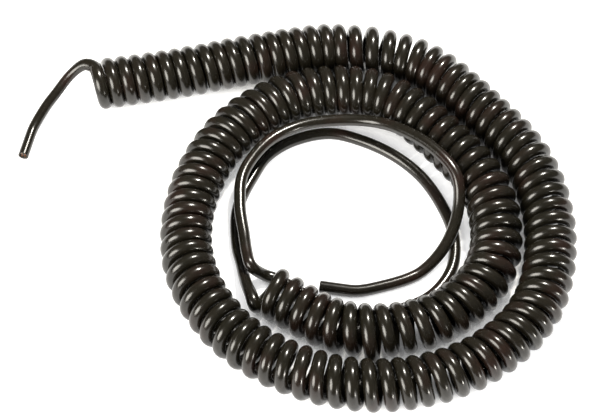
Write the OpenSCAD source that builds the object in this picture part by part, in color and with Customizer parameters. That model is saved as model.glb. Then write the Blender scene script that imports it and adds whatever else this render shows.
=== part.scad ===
// Retractile (curly) lead of a hand-held train controller, lying in a spiral of a turn and a half.
// One cable wound in a close right-handed coil, with a bare cut lead at each end.
// Millimetres, Z up, on the floor at z = 0, X along the longest side, origin at bottom centre.

/* [Cable] */
// Outside diameter of the cable where it is wound
cable_d = 5.7; // [5.2:0.1:5.7]
// Outside diameter of the inner lead, drawn a little thinner than the wound part
inner_lead_d = 5; // [4.8:0.1:5]
// Outside diameter of the outer lead, thinner again
outer_lead_d = 4.5; // [4.5:0.1:4.8]
// Wall of the sheath
sheath_wall = 0.6; // [0.5:0.05:0.6]
// Outside diameter of one insulated core
core_d = 1.3; // [1:0.05:1.3]
// Diameter of the stranded copper in a core
conductor_d = 0.6; // [0.4:0.05:0.8]

/* [Coil] */
// Outside diameter of the wound coil
coil_d = 22; // [20:0.1:22]

/* [Cut ends] */
// Length of the straight stretch at each cut end
end_length = 12; // [10:0.5:14]
// How far the cores are drawn back inside the cut sheath
core_setback = 1; // [0.5:0.1:2]

/* [Hidden] */
coil_r = coil_d / 2;
mean_r = (coil_d - cable_d) / 2;
inner_lead_r = inner_lead_d / 2;
outer_lead_r = outer_lead_d / 2;
tube_sides = 12;
lead_sides = 10;
bore_gap = 0.02;

// Middle line of the coil on plan, from the outer end to the inner end
COIL_ROUTE = [
  [-84, 64], [-50, 70], [-15, 78], [20, 83], [54, 74.8], [79.3, 51.3], [100, 22], [106.5, -13],
  [99, -47.5], [74.8, -72.3], [41, -83.2], [7, -78.8], [-24, -60], [-42, -29], [-42, 6], [-27.2, 37.6],
  [1, 57.9], [36, 58.2], [62.8, 36], [81.9, 6.5], [81.2, -28.6], [57.6, -53], [21.4, -57], [-12.2, -37.8],
];
// The coil is parted where its straight outer stretch ends, and again half way round the spiral
RUN_LAST = 4;
RING_LAST = 26;

// Outer lead, after it leaves the coil
OUTER_LEAD_ROUTE = [
  [-89.6, 70.2, 17], [-95.6, 68, 12.6], [-101.6, 62, 8], [-106.9, 55.4, 4.8], [-112.1, 44.6, 2.25],
];
OUTER_END_TURN = -103;

// Inner lead, after it leaves the coil: two loops inside the spiral, the second leaning on the coil
INNER_LEAD_ROUTE = [
  [-17, -40, 8.8], [-18.7, -34.6, 7], [-20, -28.6, 4.6], [-21.2, -21.5, 3.1], [-23.2, -12, 2.5],
  [-23.7, 2, 2.5], [-21.4, 12, 2.5], [-17, 22, 2.5], [-11, 32.5, 2.5],
  [0, 40.6, 2.5], [15, 44.4, 2.5], [29, 40.8, 2.5], [43, 33, 2.5], [54.4, 22, 2.5], [62.4, 8, 2.5],
  [67, -7, 2.5], [66, -23, 2.5], [57.6, -36, 2.5], [44.6, -43, 2.5], [29, -46, 2.5], [13, -41.6, 2.5],
  [0, -32.6, 2.5], [-7, -28.4, 2.5], [-12, -27.2, 3.8], [-17, -26.6, 9.4], [-18.9, -20, 9.2], [-20.2, -10.5, 8.8],
  [-22.1, 4, 9.6], [-20.6, 19, 10.8], [-10.8, 33.5, 12],
  [3, 42.4, 11.4], [19, 45, 11.6], [34.6, 42.8, 13.6], [47, 34.8, 18.4], [59, 24, 21], [68, 11.3, 20],
  [68.6, -1.4, 12.6], [63, -15, 6.5], [52, -26, 2.5], [37, -32, 2.5], [23, -34, 2.5],
];
INNER_END_TURN = 171;

CORES = ["brown", "blue", "black", "grey"];

// Point on a smooth curve through b and c, with a before and d after
function between(a, b, c, d, t) =
  0.5 * (2 * b + (c - a) * t + (2 * a - 5 * b + 4 * c - d) * t * t
    + (3 * b - a - 3 * c + d) * t * t * t);
function at(route, i) =
  i < 0 ? 2 * route[0] - route[1]
  : i >= len(route) ? 2 * route[len(route) - 1] - route[len(route) - 2]
  : route[i];
function smooth(route, steps) = [
  for (i = [0 : len(route) - 2], k = [0 : steps - 1])
    between(at(route, i - 1), route[i], route[i + 1], at(route, i + 2), k / steps),
  route[len(route) - 1],
];
function unit(v) = v / norm(v);
function part_of(list, first, last) = [for (i = [first : last]) list[i]];

// Middle line of the coil in space, and its direction at each point
coil_line = [for (p = smooth(COIL_ROUTE, 2)) [p[0], p[1], coil_r]];
coil_last = len(coil_line) - 1;
function coil_way(i) = unit(coil_line[min(i + 1, coil_last)] - coil_line[max(i - 1, 0)]);
outer_way = -coil_way(0);
inner_way = coil_way(coil_last);

// A point on the end face of the coil, turned from the top towards the right of the way out
function on_end(middle, way, turn) =
  middle + mean_r * (cos(turn) * [0, 0, 1] + sin(turn) * [way[1], -way[0], 0]);
outer_start = on_end(coil_line[0], outer_way, 30);
inner_start = on_end(coil_line[coil_last], inner_way, 250);

// One ring of a tube round p, square to way
function ring(p, way, r, sides) =
  let (across = unit([way[1], -way[0], 0]), up = cross(across, way))
  [for (k = [0 : sides - 1])
    p + r * (cos(360 * k / sides) * up + sin(360 * k / sides) * across)];
function ways(line, first, last) = [
  for (i = [0 : len(line) - 1])
    i == 0 ? first : i == len(line) - 1 ? last : unit(line[i + 1] - line[i - 1]),
];

// Closed tube along a line, with its two end faces square to first and last
module tube(line, r, sides, first, last) {
  turns = ways(line, first, last);
  n = len(line);
  polyhedron(
    points = [for (i = [0 : n - 1]) each ring(line[i], turns[i], r, sides)],
    faces = [
      [for (k = [0 : sides - 1]) k],
      for (i = [0 : n - 2], k = [0 : sides - 1])
        let (a = i * sides + k, b = i * sides + (k + 1) % sides)
        each [[a, a + sides, b], [b, a + sides, b + sides]],
      [for (k = [sides - 1 : -1 : 0]) (n - 1) * sides + k],
    ]);
}

module coil_stretch(first, last) {
  tube(part_of(coil_line, first, last), coil_r, tube_sides, coil_way(first), coil_way(last));
}
module coil_outer_run() { color("#1d1b18") coil_stretch(0, RUN_LAST); }
module coil_outer_ring() { color("#26231f") coil_stretch(RUN_LAST, RING_LAST); }
module coil_inner_ring() { color("#1a1917") coil_stretch(RING_LAST, coil_last); }

// Lies along +Z from the last point of a lead, pointing the way the cut end does
module at_end(route, turn) {
  translate(route[len(route) - 1]) rotate([0, 90, turn]) children();
}
module outer_end() { at_end(OUTER_LEAD_ROUTE, OUTER_END_TURN) children(); }
module inner_end() { at_end(INNER_LEAD_ROUTE, INNER_END_TURN) children(); }
function end_way(turn) = [cos(turn), sin(turn), 0];

module outer_lead() {
  color("#2b2823")
    tube(concat([outer_start], OUTER_LEAD_ROUTE), outer_lead_r, lead_sides,
      outer_way, end_way(OUTER_END_TURN));
}
module inner_lead() {
  color("#2b2823")
    tube(concat([inner_start], INNER_LEAD_ROUTE), inner_lead_r, lead_sides,
      inner_way, end_way(INNER_END_TURN));
}

// Cut end of the sheath, and the four cores inside it
module end_sheath(r) {
  $fn = 48;
  difference() {
    cylinder(r = r, h = end_length);
    translate([0, 0, -1]) cylinder(r = r - sheath_wall, h = end_length + 2);
  }
}
core_ring_r = (core_d + 0.04) / sqrt(2);
module core_place(name) {
  i = search([name], CORES)[0];
  rotate(45 + 90 * i) translate([core_ring_r, 0, 0]) children();
}
module insulation(name) {
  $fn = 48;
  core_place(name)
    difference() {
      cylinder(d = core_d, h = end_length - core_setback);
      translate([0, 0, -1]) cylinder(d = conductor_d + 2 * bore_gap, h = end_length + 2);
    }
}
module conductor(name) {
  $fn = 48;
  core_place(name) cylinder(d = conductor_d, h = end_length - core_setback / 2);
}

module outer_end_sheath() { color("#2b2823") outer_end() end_sheath(outer_lead_r); }
module outer_end_insulation_brown() { color("#5a3421") outer_end() insulation("brown"); }
module outer_end_insulation_blue() { color("#1f3d7a") outer_end() insulation("blue"); }
module outer_end_insulation_black() { color("#15151a") outer_end() insulation("black"); }
module outer_end_insulation_grey() { color("#7c7f82") outer_end() insulation("grey"); }
module outer_end_conductor_brown() { color("#b87333") outer_end() conductor("brown"); }
module outer_end_conductor_blue() { color("#b87333") outer_end() conductor("blue"); }
module outer_end_conductor_black() { color("#b87333") outer_end() conductor("black"); }
module outer_end_conductor_grey() { color("#b87333") outer_end() conductor("grey"); }
module inner_end_sheath() { color("#2b2823") inner_end() end_sheath(inner_lead_r); }
module inner_end_insulation_brown() { color("#5a3421") inner_end() insulation("brown"); }
module inner_end_insulation_blue() { color("#1f3d7a") inner_end() insulation("blue"); }
module inner_end_insulation_black() { color("#15151a") inner_end() insulation("black"); }
module inner_end_insulation_grey() { color("#7c7f82") inner_end() insulation("grey"); }
module inner_end_conductor_brown() { color("#b87333") inner_end() conductor("brown"); }
module inner_end_conductor_blue() { color("#b87333") inner_end() conductor("blue"); }
module inner_end_conductor_black() { color("#b87333") inner_end() conductor("black"); }
module inner_end_conductor_grey() { color("#b87333") inner_end() conductor("grey"); }

coil_outer_run();
coil_outer_ring();
coil_inner_ring();
outer_lead();
outer_end_sheath();
outer_end_insulation_brown();
outer_end_insulation_blue();
outer_end_insulation_black();
outer_end_insulation_grey();
outer_end_conductor_brown();
outer_end_conductor_blue();
outer_end_conductor_black();
outer_end_conductor_grey();
inner_lead();
inner_end_sheath();
inner_end_insulation_brown();
inner_end_insulation_blue();
inner_end_insulation_black();
inner_end_insulation_grey();
inner_end_conductor_brown();
inner_end_conductor_blue();
inner_end_conductor_black();
inner_end_conductor_grey();
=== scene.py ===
"""Looks of the retractile controller lead: one four-core cable wound into a curly cord, cut at both ends.

Everything is in metres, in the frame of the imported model: Z up, floor at z = 0.
"""
import math

import bpy
import numpy as np
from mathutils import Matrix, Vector


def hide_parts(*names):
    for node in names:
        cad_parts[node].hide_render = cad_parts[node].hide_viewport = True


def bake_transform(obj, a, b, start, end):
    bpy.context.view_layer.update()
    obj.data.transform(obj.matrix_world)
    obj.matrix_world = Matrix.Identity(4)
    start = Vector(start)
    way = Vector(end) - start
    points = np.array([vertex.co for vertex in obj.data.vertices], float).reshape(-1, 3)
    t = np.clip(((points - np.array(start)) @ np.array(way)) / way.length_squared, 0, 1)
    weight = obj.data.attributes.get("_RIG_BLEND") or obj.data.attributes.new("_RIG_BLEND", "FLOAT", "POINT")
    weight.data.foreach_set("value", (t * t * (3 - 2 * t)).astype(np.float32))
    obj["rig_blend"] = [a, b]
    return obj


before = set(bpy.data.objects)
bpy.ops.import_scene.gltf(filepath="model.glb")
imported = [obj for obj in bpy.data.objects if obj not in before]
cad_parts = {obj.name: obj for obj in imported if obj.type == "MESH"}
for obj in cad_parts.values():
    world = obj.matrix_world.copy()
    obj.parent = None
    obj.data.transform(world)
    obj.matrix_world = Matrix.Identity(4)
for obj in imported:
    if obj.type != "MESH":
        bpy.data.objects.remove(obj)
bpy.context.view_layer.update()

MM = 0.001

# ---------------------------------------------------------------- camera, at the photograph's angle
CAMERA_ELEVATION = math.radians(57)
CAMERA_DISTANCE = 1.1
CAMERA_TARGET = Vector((0.003, 0.0015, 0.010))
LENS_MM = 158.4
SENSOR_MM = 36


def make_camera():
    data = bpy.data.cameras.new("camera")
    data.sensor_width = SENSOR_MM
    data.lens = LENS_MM
    data.clip_start = 0.01
    obj = bpy.data.objects.new("camera", data)
    bpy.context.scene.collection.objects.link(obj)
    looking = Vector((0, math.cos(CAMERA_ELEVATION), -math.sin(CAMERA_ELEVATION)))
    obj.location = CAMERA_TARGET - looking * CAMERA_DISTANCE
    obj.rotation_euler = looking.to_track_quat("-Z", "Y").to_euler()
    bpy.context.scene.camera = obj


make_camera()

# ---------------------------------------------------------------- the cable's route, as in the CAD source
CABLE_D = 5.7 * MM
INNER_LEAD_D = 5.0 * MM
OUTER_LEAD_D = 4.5 * MM
SHEATH_WALL = 0.6 * MM
COIL_D = 22 * MM
COIL_R = COIL_D / 2
MEAN_R = (COIL_D - CABLE_D) / 2
END_LENGTH = 12 * MM

# Middle line of the coil on plan, millimetres, from the outer end to the inner end
COIL_ROUTE = [
    (-84, 64), (-50, 70), (-15, 78), (20, 83), (54, 74.8), (79.3, 51.3), (100, 22), (106.5, -13),
    (99, -47.5), (74.8, -72.3), (41, -83.2), (7, -78.8), (-24, -60), (-42, -29), (-42, 6), (-27.2, 37.6),
    (1, 57.9), (36, 58.2), (62.8, 36), (81.9, 6.5), (81.2, -28.6), (57.6, -53), (21.4, -57), (-12.2, -37.8),
]
RUN_LAST_POINT = 2  # the straight outer stretch, which draws out, ends at this point

# Leads after they leave the coil, millimetres
OUTER_LEAD_ROUTE = [
    (-89.6, 70.2, 17), (-95.6, 68, 12.6), (-101.6, 62, 8), (-106.9, 55.4, 4.8), (-112.1, 44.6, 2.25),
]
OUTER_END_TURN = math.radians(-103)
INNER_LEAD_ROUTE = [
    (-17, -40, 8.8), (-18.7, -34.6, 7), (-20, -28.6, 4.6), (-21.2, -21.5, 3.1), (-23.2, -12, 2.5),
    (-23.7, 2, 2.5), (-21.4, 12, 2.5), (-17, 22, 2.5), (-11, 32.5, 2.5),
    (0, 40.6, 2.5), (15, 44.4, 2.5), (29, 40.8, 2.5), (43, 33, 2.5), (54.4, 22, 2.5), (62.4, 8, 2.5),
    (67, -7, 2.5), (66, -23, 2.5), (57.6, -36, 2.5), (44.6, -43, 2.5), (29, -46, 2.5), (13, -41.6, 2.5),
    (0, -32.6, 2.5), (-7, -28.4, 2.5), (-12, -27.2, 3.8), (-17, -26.6, 9.4), (-18.9, -20, 9.2),
    (-20.2, -10.5, 8.8), (-22.1, 4, 9.6), (-20.6, 19, 10.8), (-10.8, 33.5, 12),
    (3, 42.4, 11.4), (19, 45, 11.6), (34.6, 42.8, 13.6), (47, 34.8, 18.4), (59, 24, 21), (68, 11.3, 20),
    (68.6, -1.4, 12.6), (63, -15, 6.5), (52, -26, 2.5), (37, -32, 2.5), (23, -34, 2.5),
]
INNER_END_TURN = math.radians(171)

# Distance from turn to turn along the coil: (millimetres from the outer end, millimetres a turn)
PITCH = [
    (0, 5.84), (107, 5.84), (111, 7.2), (128, 7.2), (134, 6.3), (165, 6.2), (252, 6.8), (290, 6.6),
    (341, 6.7), (397, 6.85), (440, 6.8), (469, 6.4), (508, 6.4), (580, 6.1), (671, 6.6), (719, 6.6),
    (761, 7.0), (811, 7.1),
]
# The last turns at the inner end lean back, their tops away from the end
LEANING_TURNS = 5
LEANS_BY = 2.2 * MM
# One turn near the inner end hangs out of line towards the front
HANGING_TURN = 118.656
HANGS_BY = 2.8 * MM
HANGS_OVER = 0.16  # of a turn, to each side
# How much each turn differs from the next, and the seed of that wander
RADIUS_WANDERS = (0.12 * MM, 3)
SHIFT_WANDERS = (0.16 * MM, 5)
TILT_WANDERS = (0.2 * MM, 9)
# Where on a turn the wire joins the coil and where it leaves it: 0 is the top, and a quarter turn is the
# right-hand side, looking along the coil towards its inner end
OUTER_FIRST_PHASE = math.radians(-28)
INNER_LAST_PHASE = math.radians(250)
# The leads are thinner: each narrows over its first stretch out of the coil
NARROWS_OVER = 14 * MM
# When the run is drawn out its turns open evenly, but less near its fixed end and near its outer end
EASES_AT_FIXED_END = 0.12  # share of the run
EASES_AT_OUTER_END = 0.05
LEAST_AT_OUTER_END = 0.3  # of the even opening

# Fineness of the lines and of the mesh
AXIS_STEPS = 40  # along the coil, from one route point to the next
LEAD_STEPS = 24  # along a lead, from one route point to the next
LEAD_STEP = 1.5 * MM
END_STEPS = 8
SHARE_STEPS = 400
STEPS_PER_TURN = 32
SIDES = 18


def smooth(points, steps):
    """Curve through the points, with so many steps from one to the next, and its end tangents free."""
    p = np.asarray(points, float)
    p = np.vstack([2 * p[0] - p[1], p, 2 * p[-1] - p[-2]])
    t = (np.arange(steps) / steps)[:, None]
    rows = []
    for a, b, c, d in zip(p, p[1:], p[2:], p[3:]):
        rows.append(0.5 * (2 * b + (c - a) * t + (2 * a - 5 * b + 4 * c - d) * t**2
                           + (3 * b - a - 3 * c + d) * t**3))
    return np.vstack([*rows, p[-2:-1]])


def lengths(line):
    """Distance along a line at each of its points."""
    return np.r_[0, np.cumsum(np.linalg.norm(np.diff(line, axis=0), axis=1))]


def unit(v):
    return v / np.linalg.norm(v, axis=-1, keepdims=True)


def at_distance(line, along, where):
    """Points of a line, whose points lie so far along it, at other distances."""
    return np.stack([np.interp(where, along, line[:, k]) for k in range(3)], axis=1)


# The coil's middle line, and the turn that the wire has come to at each point of it
axis_line = smooth([(x * MM, y * MM, COIL_R) for x, y in COIL_ROUTE], AXIS_STEPS)
axis_way = unit(np.gradient(axis_line, axis=0))
axis_along = lengths(axis_line)
pitch_here = np.interp(axis_along, *(np.array(PITCH).T * MM))
turns_here = np.r_[0, np.cumsum(np.diff(axis_along) / ((pitch_here[1:] + pitch_here[:-1]) / 2))]
first_turn = OUTER_FIRST_PHASE / (2 * math.pi)
last_part = INNER_LAST_PHASE / (2 * math.pi)
last_turn = math.floor(first_turn + turns_here[-1] - last_part) + last_part
turns_here = first_turn + turns_here * (last_turn - first_turn) / turns_here[-1]
run_last = RUN_LAST_POINT * AXIS_STEPS
run_turns = turns_here[run_last]


def uneven(turn, size, seed):
    """A value that wanders from turn to turn, the same on every run."""
    knots = np.random.default_rng(seed).uniform(-1, 1, int(last_turn) + 4)
    k = np.clip(np.floor(turn).astype(int) + 1, 0, len(knots) - 2)
    f = turn - np.floor(turn)
    f = f * f * (3 - 2 * f)
    return size * (knots[k] * (1 - f) + knots[k + 1] * f)


def wound(turn):
    """Points of the wire's centreline at these turns, counted from the outer end: whole ones are on top."""
    turn = np.asarray(turn, float)
    along = np.interp(turn, turns_here, axis_along)
    middle = at_distance(axis_line, axis_along, along)
    way = unit(at_distance(axis_way, axis_along, along))
    up = np.array([0.0, 0.0, 1.0])
    side = unit(np.cross(way, up))
    phase = 2 * math.pi * turn
    radius = MEAN_R + uneven(turn, *RADIUS_WANDERS)
    off_hanging = (turn - HANGING_TURN) / HANGS_OVER
    radius += HANGS_BY * np.exp(-off_hanging * off_hanging)
    shift = uneven(turn, *SHIFT_WANDERS) + uneven(turn + 0.5, *TILT_WANDERS) * np.cos(phase)
    near_inner_end = np.clip(1 - (last_turn - turn) / LEANING_TURNS, 0, 1)
    shift -= LEANS_BY * near_inner_end * (1 + np.cos(phase)) / 2
    out = np.cos(phase)[:, None] * up + np.sin(phase)[:, None] * side
    points = middle + radius[:, None] * out + shift[:, None] * way
    points[:, 2] = np.maximum(points[:, 2], CABLE_D / 2)
    return points


def lead(before, start, route, turn_out, radius):
    """Lead that leaves the coil's wire at start, follows the route, and runs straight for END_LENGTH."""
    way = np.array([math.cos(turn_out), math.sin(turn_out), 0.0])
    points = np.vstack([start, np.array(route) * MM])
    reach = np.linalg.norm(points[1] - points[0])
    first = start - unit(start - before) * reach
    last = points[-2] + 2 * way * np.linalg.norm(points[-1] - points[-2])
    line = smooth([first, *points, last], LEAD_STEPS)[LEAD_STEPS:-LEAD_STEPS]
    line[:, 2] = np.maximum(line[:, 2], radius)
    along = lengths(line)
    line = at_distance(line, along, np.linspace(0, along[-1], round(along[-1] / LEAD_STEP)))
    tip = line[-1] + way * END_LENGTH
    straight = np.linspace(line[-1], tip, END_STEPS + 1)[1:]
    return np.vstack([line, straight])


coil_steps = round((last_turn - first_turn) * STEPS_PER_TURN)
coil_turns = np.linspace(first_turn, last_turn, coil_steps + 1)
coil_wire = wound(coil_turns)
outer_wire = lead(coil_wire[1], coil_wire[0], OUTER_LEAD_ROUTE, OUTER_END_TURN, OUTER_LEAD_D / 2)
inner_wire = lead(coil_wire[-2], coil_wire[-1], INNER_LEAD_ROUTE, INNER_END_TURN, INNER_LEAD_D / 2)

# The whole centreline, from the cut outer end to the cut inner end
wire = np.vstack([outer_wire[:0:-1], coil_wire, inner_wire[1:]])
outer_turns = np.full(len(outer_wire) - 1, first_turn)
inner_turns = np.full(len(inner_wire) - 1, last_turn)
wire_turn = np.r_[outer_turns, coil_turns, inner_turns]
wire_along = lengths(wire)


def narrowing(out_of_coil, lead_d):
    """How much smaller than the wound cable's the radius is, this far out of the coil."""
    x = np.clip(out_of_coil / NARROWS_OVER, 0, 1)
    return x * x * (3 - 2 * x) * (CABLE_D - lead_d) / 2


outer_reach = lengths(outer_wire)[-1]
inner_reach = wire_along[-1] - lengths(inner_wire)[-1]
wire_radius = (CABLE_D / 2 - narrowing(outer_reach - wire_along, OUTER_LEAD_D)
               - narrowing(wire_along - inner_reach, INNER_LEAD_D))


def stretch_share(turn):
    """How far a turn goes with the outer end when the run is drawn out: 1 there, 0 past the run."""
    x = np.linspace(0, 1, SHARE_STEPS)
    near_fixed_end = np.minimum(1, x / EASES_AT_FIXED_END)
    near_outer_end = np.minimum(1, (1 - x) / EASES_AT_OUTER_END + LEAST_AT_OUTER_END)
    total = np.r_[0, np.cumsum((near_fixed_end * near_outer_end)[1:])]
    return np.interp(1 - turn / run_turns, x, total / total[-1])


# ---------------------------------------------------------------- the sheath's mesh
def turning_frames(line):
    """Tangent and two normals at each point, turning no more than the line does."""
    tangent = unit(np.gradient(line, axis=0))
    normal = np.zeros_like(tangent)
    normal[0] = unit(np.cross(tangent[0], [0.0, 0.0, 1.0]))
    for i in range(1, len(line)):
        n = normal[i - 1] - tangent[i] * (normal[i - 1] @ tangent[i])
        normal[i] = n / np.linalg.norm(n)
    return tangent, normal, np.cross(tangent, normal)


RIM = 0.12 * MM  # rounding of the cut edges
BORE_DEPTH = END_LENGTH * 1.002
BORE_RINGS = 8

# Rows of the laid-out cable: each row's share of the square's width and of its own height
ROW_START = 0.004
ROW_WIDTH = 0.985
ROW_MARGIN = 0.03
ROW_HEIGHT = 0.94
ROW_SLACK = 1.004  # so that the last face doesn't start a row of its own


def sheath_rings():
    """The sheath's rings in order: up out of one bore, along the cable, and down into the other bore.

    Each is a centre, a radius, a normal, a binormal, a turn, and whether it belongs to a cut or a bore.
    """
    tangent, normal, binormal = turning_frames(wire)
    bore = wire_radius - SHEATH_WALL
    last = len(wire) - 1
    rows = []

    def ring(k, radius, back, cut):
        outwards = tangent[k] if k else -tangent[k]
        rows.append((wire[k] - outwards * back, radius, normal[k], binormal[k], wire_turn[k], cut))

    for back in np.linspace(BORE_DEPTH, RIM, BORE_RINGS):
        ring(0, bore[0], back, True)
    ring(0, bore[0] + RIM, 0, True)
    ring(0, wire_radius[0] - RIM, 0, True)
    ring(0, wire_radius[0], RIM, False)
    ring(0, wire_radius[0], 3 * RIM, False)
    for k in range(1, last):
        ring(k, wire_radius[k], 0, False)
    ring(last, wire_radius[last], 3 * RIM, False)
    ring(last, wire_radius[last], RIM, False)
    ring(last, wire_radius[last] - RIM, 0, True)
    ring(last, bore[last] + RIM, 0, True)
    for back in np.linspace(RIM, BORE_DEPTH, BORE_RINGS):
        ring(last, bore[last], back, True)
    return rows


def add_uv_layers(mesh, points):
    """Wire: metres along the cable, and once around it. OFBake: the cable laid out in rows on a square."""
    steps = np.linalg.norm(np.diff(points, axis=0), axis=2).mean(axis=1)
    reach = np.r_[0, np.cumsum(steps)]
    side = np.arange(SIDES)
    u0 = np.repeat(reach[:-1], SIDES)
    u1 = np.repeat(reach[1:], SIDES)
    v0 = np.tile(side / SIDES, len(steps))
    v1 = np.tile((side + 1) / SIDES, len(steps))
    corners = np.stack([np.stack(uv, 1) for uv in ((u0, v0), (u0, v1), (u1, v1), (u1, v0))], 1)
    row_count = max(1, round(math.sqrt(reach[-1] / (math.pi * CABLE_D))))
    row_length = reach[-1] / row_count * ROW_SLACK
    row = np.floor(u0 / row_length)
    laid = corners.copy()
    laid[..., 0] = (corners[..., 0] - row[:, None] * row_length) / row_length * ROW_WIDTH + ROW_START
    laid[..., 1] = (row[:, None] + ROW_MARGIN + corners[..., 1] * ROW_HEIGHT) / row_count
    caps = np.zeros((2 * SIDES, 2))
    for name, uv in (("Wire", corners), ("OFBake", laid)):
        layer = mesh.uv_layers.new(name=name)
        layer.data.foreach_set("uv", np.vstack([uv.reshape(-1, 2), caps]).astype(np.float32).ravel())


def build_sheath():
    """The whole sheath as one mesh, blended between the two bodies."""
    rows = sheath_rings()
    centre, radius, normal, binormal, turn, cut = (np.array(c) for c in zip(*rows))
    angle = np.linspace(0, 2 * math.pi, SIDES, endpoint=False)
    on_normal = np.cos(angle)[None, :, None]
    on_binormal = np.sin(angle)[None, :, None]
    around = on_normal * normal[:, None] + on_binormal * binormal[:, None]
    points = centre[:, None] + radius[:, None, None] * around
    index = np.arange(len(rows) * SIDES).reshape(-1, SIDES)
    beside = np.roll(index, -1, axis=1)
    quads = np.stack([index[:-1], beside[:-1], beside[1:], index[1:]], axis=-1).reshape(-1, 4)
    faces = quads.tolist() + [index[0][::-1].tolist(), index[-1].tolist()]
    mesh = bpy.data.meshes.new("cable_sheath")
    mesh.from_pydata(points.reshape(-1, 3).tolist(), [], faces)
    mesh.shade_smooth()
    add_uv_layers(mesh, points)
    # Slot 0 is the outside of the sheath, slot 1 its cut faces and bores
    slots = np.r_[np.repeat((cut[:-1] & cut[1:]).astype(int), SIDES), 1, 1]
    mesh.polygons.foreach_set("material_index", slots.astype(np.int32))
    obj = bpy.data.objects.new("cable_sheath", mesh)
    bpy.context.scene.collection.objects.link(obj)
    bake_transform(obj, "coil", "outer_end", start=tuple(axis_line[run_last]), end=tuple(axis_line[0]))
    # The blend's own share is by distance; here it is by turns, the same all round each ring
    share = np.repeat(stretch_share(turn), SIDES)
    mesh.attributes["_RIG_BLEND"].data.foreach_set("value", share.astype(np.float32))
    return obj


# ---------------------------------------------------------------- materials
class Nodes:
    """A material's node tree, with short ways to add nodes."""

    def __init__(self, name, colour):
        self.material = bpy.data.materials.new(name)
        self.material.use_nodes = True
        self.material.diffuse_color = (*colour, 1)
        self.tree = self.material.node_tree
        self.shader = self.tree.nodes["Principled BSDF"]

    def add(self, kind, links=(), **values):
        """Node of this kind, its inputs fed from links, and its other inputs and settings given by values."""
        node = self.tree.nodes.new(kind)
        for key, value in values.items():
            if key in node.inputs:
                node.inputs[key].default_value = value
            else:
                setattr(node, key, value)
        for name, source in dict(links).items():
            self.tree.links.new(source, node.inputs[name])
        return node

    def ramp(self, source, stops):
        """Colour or grey read off the stops: (place, colour) or (place, grey level)."""
        node = self.add("ShaderNodeValToRGB", {"Fac": source})
        elements = node.color_ramp.elements
        while len(elements) < len(stops):
            elements.new(0.5)
        for element, (place, colour) in zip(elements, stops):
            element.position = place
            element.color = (*colour, 1) if isinstance(colour, tuple) else (colour, colour, colour, 1)
        return node.outputs["Color"]

    def span(self, source, low, high):
        """Value from 0 to 1 made to run from low to high."""
        node = self.add("ShaderNodeMapRange", {"Value": source})
        node.inputs["To Min"].default_value = low
        node.inputs["To Max"].default_value = high
        return node.outputs["Result"]

    def set(self, **values):
        for key, value in values.items():
            self.shader.inputs[key.replace("_", " ")].default_value = value

    def link(self, name, source):
        self.tree.links.new(source, self.shader.inputs[name])


def scaled(m, coordinates, scale):
    return m.add("ShaderNodeMapping", {"Vector": coordinates}, Scale=scale).outputs["Vector"]


def sheath_material():
    """Glossy warm brown-black PVC, uneven in colour, with orange peel, extrusion lines and rub marks."""
    m = Nodes("sheath_pvc", (0.02, 0.018, 0.015))
    here = m.add("ShaderNodeTexCoord").outputs["Object"]
    wire_uv = m.add("ShaderNodeUVMap", uv_map="Wire").outputs["UV"]

    # Colour: from olive black to red brown in patches a centimetre or two across, with a fine mottle
    patches = m.add("ShaderNodeTexNoise", {"Vector": here}, Scale=55.0, Detail=2.0, Roughness=0.5)
    tint = m.ramp(patches.outputs["Fac"], [
        (0.36, (0.0075, 0.0066, 0.0041)), (0.52, (0.0092, 0.0076, 0.005)), (0.68, (0.0135, 0.0074, 0.0053)),
    ])
    mottle = m.add("ShaderNodeTexNoise", {"Vector": here}, Scale=900.0, Detail=3.0, Roughness=0.6)
    shade = m.ramp(mottle.outputs["Fac"], [(0.3, 0.75), (0.7, 1.25)])
    mixed = m.add("ShaderNodeMix", data_type="RGBA", blend_type="MULTIPLY")
    mixed.inputs["Factor"].default_value = 1.0
    m.tree.links.new(tint, mixed.inputs["A"])
    m.tree.links.new(shade, mixed.inputs["B"])
    m.link("Base Color", mixed.outputs["Result"])

    # Roughness: smeary patches, and duller rub marks that run along the cable
    smear = m.add("ShaderNodeTexNoise", {"Vector": here}, Scale=240.0, Detail=4.0, Roughness=0.55)
    rubs = m.add("ShaderNodeTexNoise", {"Vector": scaled(m, wire_uv, (260.0, 26.0, 1.0))},
                 Scale=1.0, Detail=3.0, Roughness=0.6)
    rub_mask = m.ramp(rubs.outputs["Fac"], [(0.58, 0.0), (0.72, 1.0)])
    smeary = m.span(smear.outputs["Fac"], 0.15, 0.29)
    rubbed = m.span(rub_mask, 0.0, 0.14)
    rough = m.add("ShaderNodeMath", {0: smeary, 1: rubbed}, operation="ADD")
    m.link("Roughness", rough.outputs["Value"])

    # Bump: orange peel, extrusion lines along the cable, and the rub marks
    peel = m.add("ShaderNodeTexNoise", {"Vector": here}, Scale=1300.0, Detail=2.0, Roughness=0.5)
    lines = m.add("ShaderNodeTexNoise", {"Vector": scaled(m, wire_uv, (12.0, 60.0, 1.0))},
                  Scale=1.0, Detail=2.0, Roughness=0.5)
    bump = m.add("ShaderNodeBump", {"Height": peel.outputs["Fac"]}, Strength=0.1, Distance=0.0001)
    bump = m.add("ShaderNodeBump", {"Height": lines.outputs["Fac"], "Normal": bump.outputs["Normal"]},
                 Strength=0.12, Distance=0.0001)
    bump = m.add("ShaderNodeBump", {"Height": rub_mask, "Normal": bump.outputs["Normal"]},
                 Strength=0.08, Distance=0.0001)
    m.link("Normal", bump.outputs["Normal"])
    m.set(IOR=1.5)
    return m.material


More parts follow.
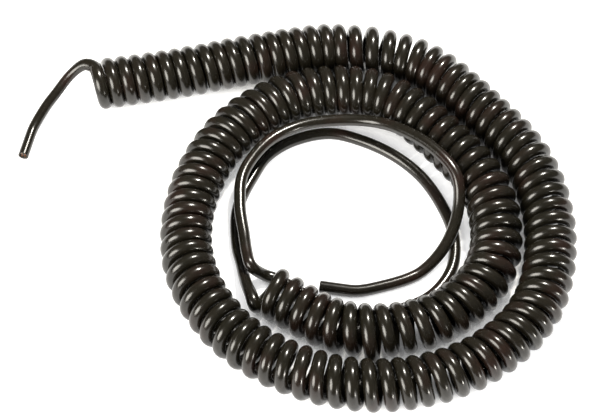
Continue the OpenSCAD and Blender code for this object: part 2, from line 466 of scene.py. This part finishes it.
def cut_material():
    """The cut faces and the bore: the same PVC, matt, with knife marks."""
    m = Nodes("sheath_cut_pvc", (0.03, 0.028, 0.025))
    here = m.add("ShaderNodeTexCoord").outputs["Object"]
    grain = m.add("ShaderNodeTexNoise", {"Vector": here}, Scale=1800.0, Detail=4.0, Roughness=0.6)
    colour = m.ramp(grain.outputs["Fac"], [(0.3, (0.02, 0.018, 0.015)), (0.7, (0.045, 0.04, 0.034))])
    m.link("Base Color", colour)
    marks = m.add("ShaderNodeTexWave", {"Vector": here}, Scale=1500.0, Distortion=3.0, Detail=2.0)
    m.link("Roughness", m.span(marks.outputs["Fac"], 0.5, 0.7))
    bump = m.add("ShaderNodeBump", {"Height": marks.outputs["Fac"]}, Strength=0.3, Distance=0.0001)
    m.link("Normal", bump.outputs["Normal"])
    return m.material


def insulation_material(name, dark, light):
    """Thin PVC insulation: dusty with talc from the sheath, slightly uneven in colour."""
    m = Nodes(name, light)
    here = m.add("ShaderNodeTexCoord").outputs["Object"]
    patches = m.add("ShaderNodeTexNoise", {"Vector": here}, Scale=700.0, Detail=3.0, Roughness=0.6)
    m.link("Base Color", m.ramp(patches.outputs["Fac"], [(0.35, dark), (0.68, light)]))
    dust = m.add("ShaderNodeTexNoise", {"Vector": here}, Scale=3200.0, Detail=4.0, Roughness=0.65)
    m.link("Roughness", m.span(dust.outputs["Fac"], 0.35, 0.65))
    bump = m.add("ShaderNodeBump", {"Height": dust.outputs["Fac"]}, Strength=0.15, Distance=0.00005)
    m.link("Normal", bump.outputs["Normal"])
    return m.material


STRAND_TWIST = 0.6  # radians off the conductor's line


def copper_material(turn_out):
    """Fine copper strands, twisted along the cut end that points this way, with painted shade in the grooves
    between them.
    """
    m = Nodes("copper_strands", (0.6, 0.3, 0.16))
    here = m.add("ShaderNodeTexCoord").outputs["Object"]
    lying = m.add("ShaderNodeMapping", {"Vector": here}, Rotation=(0, 0, -turn_out - STRAND_TWIST))
    lying = lying.outputs["Vector"]
    strands = m.add("ShaderNodeTexWave", {"Vector": lying}, Scale=2600.0, Distortion=0.6, Detail=1.0,
                    bands_direction="Y")
    # Darker colour in the grooves between the strands: painted shade
    colour = m.ramp(strands.outputs["Fac"], [(0.1, (0.2, 0.07, 0.03)), (0.6, (0.72, 0.36, 0.19))])
    m.link("Base Color", colour)
    spots = m.add("ShaderNodeTexNoise", {"Vector": here}, Scale=2500.0, Detail=2.0)
    m.link("Roughness", m.span(spots.outputs["Fac"], 0.22, 0.45))
    bump = m.add("ShaderNodeBump", {"Height": strands.outputs["Fac"]}, Strength=0.6, Distance=0.00008)
    m.link("Normal", bump.outputs["Normal"])
    m.set(Metallic=1.0)
    return m.material


# Each core's darker and lighter colour
CORE_COLOURS = {
    "brown": ((0.05, 0.02, 0.01), (0.12, 0.05, 0.025)),
    "blue": ((0.008, 0.02, 0.08), (0.02, 0.05, 0.17)),
    "black": ((0.006, 0.006, 0.007), (0.016, 0.016, 0.018)),
    "grey": ((0.12, 0.125, 0.13), (0.22, 0.225, 0.23)),
}


def finish_cores():
    for end, turn_out in (("outer_end", OUTER_END_TURN), ("inner_end", INNER_END_TURN)):
        copper = copper_material(turn_out)
        copper.name = f"copper_{end}"
        for colour, (dark, light) in CORE_COLOURS.items():
            insulation = insulation_material(f"insulation_{colour}_{end}", dark, light)
            for part, material in (("insulation", insulation), ("conductor", copper)):
                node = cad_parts[f"{end}_{part}_{colour}"]
                node.data.materials.clear()
                node.data.materials.append(material)


sheath = build_sheath()
sheath.data.materials.append(sheath_material())
sheath.data.materials.append(cut_material())
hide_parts("coil_outer_run", "coil_outer_ring", "coil_inner_ring",
            "outer_lead", "outer_end_sheath", "inner_lead", "inner_end_sheath")
finish_cores()

# ---------------------------------------------------------------- floor and light
FLOOR_SIZE = 8
LIGHT_DISTANCE = 1.2
LIGHT_COLOUR = (1.0, 0.96, 0.88)
WORLD_STRENGTH = 0.12


def make_floor():
    bpy.ops.mesh.primitive_plane_add(size=FLOOR_SIZE)
    floor = bpy.context.object
    floor.name = "floor"
    m = Nodes("floor_white", (0.9, 0.9, 0.9))
    m.set(Base_Color=(0.5, 0.5, 0.5, 1), Roughness=0.9, Specular_IOR_Level=0.1, Emission_Color=(1, 1, 1, 1))
    # The floor glows white, with painted shade in the narrow gaps between stretches of the coil, where
    # ambient occlusion cuts its glow
    gap_shade_occlusion = m.add("ShaderNodeAmbientOcclusion", samples=8, Distance=0.02)
    m.link("Emission Strength", m.ramp(gap_shade_occlusion.outputs["AO"], [(0.13, 0.05), (0.22, 0.95)]))
    floor.data.materials.append(m.material)


def soft_light(name, towards, size, power):
    """Round light in this direction from the frame's origin and aimed at it, so many metres across."""
    data = bpy.data.lights.new(name, "AREA")
    data.shape = "DISK"
    data.size = size
    data.energy = power
    data.color = LIGHT_COLOUR
    obj = bpy.data.objects.new(name, data)
    bpy.context.scene.collection.objects.link(obj)
    obj.location = Vector(towards).normalized() * LIGHT_DISTANCE
    obj.rotation_euler = (-obj.location).to_track_quat("-Z", "Y").to_euler()


def make_world():
    world = bpy.data.worlds.new("studio")
    bpy.context.scene.world = world
    world.use_nodes = True
    background = world.node_tree.nodes["Background"]
    background.inputs["Color"].default_value = (1, 1, 1, 1)
    background.inputs["Strength"].default_value = WORLD_STRENGTH


make_floor()
soft_light("overhead_light", towards=(0.25, 0.40, 0.88), size=0.17, power=26)
soft_light("front_left_softbox", towards=(-0.68, -0.55, 0.49), size=0.85, power=25)
soft_light("front_right_light", towards=(0.66, -0.74, 0.10), size=0.14, power=6)
make_world()
bpy.context.scene.view_settings.view_transform = "Standard"
